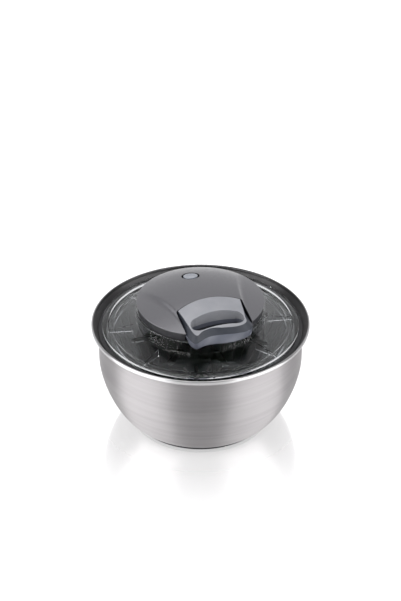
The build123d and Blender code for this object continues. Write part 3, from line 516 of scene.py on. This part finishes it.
well_lip = cover_height(0, BUTTON_Y + WELL_RADIUS) - WELL_LIP_DROP
well_profile = [
    (PLUNGER_HOLE, WELL_FLOOR),
    (WELL_RADIUS + WELL_WALL, WELL_FLOOR),
    (WELL_RADIUS + WELL_WALL, well_lip),
    (WELL_RADIUS, well_lip),
    (WELL_RADIUS, WELL_FLOOR + WELL_FLOOR_THICKNESS),
    (PLUNGER_HOLE, WELL_FLOOR + WELL_FLOOR_THICKNESS),
]
piece("button_well", *lathe(well_profile, 96, (0.0, BUTTON_Y)), "housing_black", "lid", smooth=False)


# ---- clear lid ------------------------------------------------------------------------
def rounded(profile, radius, steps=3):
    """The closed profile with each of its corners turned through a small arc."""
    made = []
    count = len(profile)
    for i in range(count):
        back = Vector(profile[i - 1])
        here = Vector(profile[i])
        on = Vector(profile[(i + 1) % count])
        reach = min(radius, 0.42 * (back - here).length, 0.42 * (on - here).length)
        first = here + (back - here).normalized() * reach
        last = here + (on - here).normalized() * reach
        for k in range(steps + 1):
            t = k / steps
            made.append(tuple(first * (1 - t) ** 2 + here * 2 * t * (1 - t) + last * t * t))
    return made


LID_RADIUS = lid_high.x
BAND_TOP = DECK_TOP - 20.0 * MM
PLATE_TOP = BAND_TOP - 2.0 * MM
TURRET = 78.0 * MM
TURRET_FOOT = DECK_TOP - 16.0 * MM
LID_WALL = 2.0 * MM
BUSH_HOLE = 11.0 * MM
BAND_INNER = 112.0 * MM
GROOVE_OUTER = 111.2 * MM
RIDGE_OUTER = 108.9 * MM
RIDGE_INNER = 105.0 * MM
RIDGE_FLANK = 0.4 * MM
RIDGE_HEIGHT = 0.6 * MM
CONE_FOOT = 81.5 * MM
CONE_FOOT_UNDER = 80.5 * MM
CORNER_ROUND = 0.45 * MM
RIB_COUNT = 8
RIB_TURN = radians(-12.3)
RIB_HALF = 0.8 * MM
RIB_INNER = 82.0 * MM
RIB_OUTER = 113.0 * MM
RIB_DEPTH = 6.0 * MM
lid_profile = [
    (LID_RADIUS - LID_WALL, lid_low.z),
    (LID_RADIUS, lid_low.z),
    (LID_RADIUS, BAND_TOP),
    (BAND_INNER, BAND_TOP),
    (GROOVE_OUTER, PLATE_TOP),
    (RIDGE_OUTER, PLATE_TOP),
    (RIDGE_OUTER - RIDGE_FLANK, PLATE_TOP + RIDGE_HEIGHT),
    (RIDGE_INNER + RIDGE_FLANK, PLATE_TOP + RIDGE_HEIGHT),
    (RIDGE_INNER, PLATE_TOP),
    (CONE_FOOT, TURRET_FOOT - 0.4 * MM),
    (TURRET, TURRET_FOOT + 1.0 * MM),
    (TURRET, DECK_TOP),
    (BUSH_HOLE, DECK_TOP),
    (BUSH_HOLE, DECK_TOP - LID_WALL),
    (TURRET - LID_WALL, DECK_TOP - LID_WALL),
    (TURRET - LID_WALL, TURRET_FOOT - LID_WALL + 1.0 * MM),
    (CONE_FOOT_UNDER, TURRET_FOOT - LID_WALL - 0.6 * MM),
    (RIDGE_INNER, PLATE_TOP - LID_WALL),
    (LID_RADIUS - LID_WALL, PLATE_TOP - LID_WALL),
]
rib_side = [
    (RIB_INNER, PLATE_TOP - RIB_DEPTH),
    (RIB_OUTER, PLATE_TOP - RIB_DEPTH),
    (RIB_OUTER, PLATE_TOP - 1.0 * MM),
    (RIDGE_INNER, PLATE_TOP - 1.0 * MM),
    (RIB_INNER, TURRET_FOOT - 1.6 * MM),
]


def rib_solids():
    """Eight upright ribs under the lid's plate, each a thin plate along a radius."""
    verts, faces = [], []
    size = len(rib_side)
    for rib in range(RIB_COUNT):
        turn = RIB_TURN + rib * 2 * pi / RIB_COUNT
        start = len(verts)
        for side in (-RIB_HALF, RIB_HALF):
            for radius, height in rib_side:
                x = radius * cos(turn) - side * sin(turn)
                y = radius * sin(turn) + side * cos(turn)
                verts.append((x, y, height))
        faces.append(tuple(start + k for k in range(size)))
        faces.append(tuple(start + size + k for k in reversed(range(size))))
        for k in range(size):
            j = (k + 1) % size
            faces.append((start + j, start + k, start + size + k, start + size + j))
    return verts, faces


lid_mesh = lathe(rounded(lid_profile, CORNER_ROUND), 288)
clear_lid = piece("clear_lid", *lid_mesh, "clear_plastic", None, "lid")
cut_with(clear_lid, *rib_solids(), "UNION")
for polygon in clear_lid.data.polygons:
    polygon.use_smooth = True
clear_lid.data.set_sharp_from_angle(angle=radians(42))
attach(clear_lid, "lid")

# ---- pull cord from the reel to the handle --------------------------------------------
CORD_HALF = (run_high.z - run_low.z) / 2
WIND_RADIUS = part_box("pull_cord")[1].x - CORD_HALF
CORD_Z = (run_high.z + run_low.z) / 2
EYELET_Y = -41.0 * MM
LIFT_OFF_TURN = 0.9455
CORD_BEND = 2.4 * MM
CORD_SIDES = 20
lift_off = Vector((-WIND_RADIUS * sin(LIFT_OFF_TURN), -WIND_RADIUS * cos(LIFT_OFF_TURN), CORD_Z))
corner = Vector((0.0, EYELET_Y, CORD_Z))
end = Vector((0.0, run_low.y, CORD_Z))
before = corner + (lift_off - corner).normalized() * CORD_BEND
after = corner + (end - corner).normalized() * 0.8 * MM
path = [lift_off.lerp(before, k / 12) for k in range(12)]
path += [before * (1 - t) ** 2 + corner * 2 * t * (1 - t) + after * t * t for t in (k / 8 for k in range(9))]
path.append(end)


def tube(points, half):
    """A closed tube along a level path, its section slightly fluted like a braid's."""
    verts, faces = [], []
    for index, point in enumerate(points):
        ahead_point = points[min(index + 1, len(points) - 1)]
        behind_point = points[max(index - 1, 0)]
        along = (ahead_point - behind_point).normalized()
        side = along.cross(Vector((0, 0, 1))).normalized()
        up = side.cross(along)
        for k in range(CORD_SIDES):
            turn = 2 * pi * k / CORD_SIDES
            swell = half * (0.96 + 0.04 * cos(4 * turn + index))
            verts.append(tuple(point + side * cos(turn) * swell + up * sin(turn) * swell))
    for index in range(len(points) - 1):
        a, b = index * CORD_SIDES, (index + 1) * CORD_SIDES
        for k in range(CORD_SIDES):
            j = (k + 1) % CORD_SIDES
            faces.append((a + k, a + j, b + j, b + k))
    faces.append(tuple(reversed(range(CORD_SIDES))))
    last_ring = (len(points) - 1) * CORD_SIDES
    faces.append(tuple(last_ring + k for k in range(CORD_SIDES)))
    return verts, faces


cord = piece("drawn_cord", *tube(path, CORD_HALF), "cord_fibre", None, "cord_run")
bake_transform(cord)

# ---- floor, light and camera ----------------------------------------------------------
floor_mesh = bpy.data.meshes.new("studio_floor")
FLOOR_HALF = 9.0
floor_mesh.from_pydata(
    [(-FLOOR_HALF, -FLOOR_HALF, 0), (FLOOR_HALF, -FLOOR_HALF, 0), (FLOOR_HALF, FLOOR_HALF, 0),
     (-FLOOR_HALF, FLOOR_HALF, 0)], [], [(0, 1, 2, 3)])
floor = bpy.data.objects.new("studio_floor", floor_mesh)
bpy.context.scene.collection.objects.link(floor)
floor_look = Shade("studio_floor", (0.93, 0.93, 0.93), 0.1, 0.5)
floor_look.set("Emission Color", (1.0, 1.0, 1.0, 1.0))
floor_look.set("Emission Strength", 0.42)
floor_look.rough(floor_look.noise(3.0, 2.0), 0.08, 0.12)
reach = floor_look.node("ShaderNodeVectorMath", operation="LENGTH")
floor_look.link(floor_look.place, reach.inputs[0])
# Painted reflection falloff: the floor is made most mirror-like round the object and duller further out, so
# the object's reflection fades away from it.
painted_reflection_share = floor_look.span(reach.outputs["Value"], 0.75, 0.15, 0.12, 0.42)
floor_look.link(painted_reflection_share, floor_look.shader.inputs["Metallic"])
floor_mesh.materials.append(floor_look.material)

AZIMUTH = radians(-19.9)
ELEVATION = radians(32.0)
DISTANCE = 1.9
TARGET = Vector((0.0, 0.0, 0.1604))
toward = Vector((sin(AZIMUTH) * cos(ELEVATION), -cos(AZIMUTH) * cos(ELEVATION), sin(ELEVATION)))
camera = bpy.data.objects.new("camera", bpy.data.cameras.new("camera"))
camera.data.lens = 94.5
camera.data.sensor_width = 36.0
camera.location = TARGET + toward * DISTANCE
camera.rotation_euler = (-toward).to_track_quat("-Z", "Y").to_euler()
bpy.context.scene.collection.objects.link(camera)
bpy.context.scene.camera = camera

front = Vector((sin(AZIMUTH), -cos(AZIMUTH), 0.0))
right = Vector((cos(AZIMUTH), sin(AZIMUTH), 0.0))


def softbox(name, place, aim, width, height, power):
    light = bpy.data.lights.new(name, "AREA")
    light.shape = "RECTANGLE"
    light.size = width
    light.size_y = height
    light.energy = power
    made = bpy.data.objects.new(name, light)
    made.location = place
    made.rotation_euler = (Vector(aim) - Vector(place)).to_track_quat("-Z", "Y").to_euler()
    bpy.context.scene.collection.objects.link(made)


centre = Vector((0.0, 0.0, 0.08))


def around_camera(degrees_right, distance, height):
    """A place at an angle from the camera's side of the object."""
    turn = radians(degrees_right)
    return (front * cos(turn) + right * sin(turn)) * distance + Vector((0, 0, height))


softbox("left_box", around_camera(-64, 1.6, 0.85), centre, 2.0, 1.5, 38)
softbox("right_box", around_camera(64, 1.6, 0.85), centre, 2.0, 1.5, 34)
softbox("top_box", around_camera(180, 0.4, 2.4), centre, 1.8, 1.4, 24)

world = bpy.data.worlds.new("studio")
bpy.context.scene.world = world
world.use_nodes = True
sky = world.node_tree
backdrop = sky.nodes["Background"]
direction = sky.nodes.new("ShaderNodeTexCoord").outputs["Generated"]
ahead = sky.nodes.new("ShaderNodeVectorMath")
ahead.operation = "DOT_PRODUCT"
ahead.inputs[1].default_value = front
sky.links.new(direction, ahead.inputs[0])
whole = sky.nodes.new("ShaderNodeMapRange")
whole.inputs["From Min"].default_value = -1.0
whole.inputs["From Max"].default_value = 1.0
sky.links.new(ahead.outputs["Value"], whole.inputs["Value"])
shade = sky.nodes.new("ShaderNodeValToRGB")
shade.color_ramp.elements[0].position = 0.13
shade.color_ramp.elements[0].color = (0.85, 0.85, 0.86, 1)
shade.color_ramp.elements[1].position = 0.9
shade.color_ramp.elements[1].color = (0.04, 0.04, 0.042, 1)
for stop in (0.3, 0.62):
    shade.color_ramp.elements.new(stop).color = (0.3, 0.3, 0.31, 1)
sky.links.new(whole.outputs["Result"], shade.inputs["Fac"])
sky.links.new(shade.outputs["Color"], backdrop.inputs["Color"])
backdrop.inputs["Strength"].default_value = 1.0
bpy.context.scene.view_settings.view_transform = "Standard"
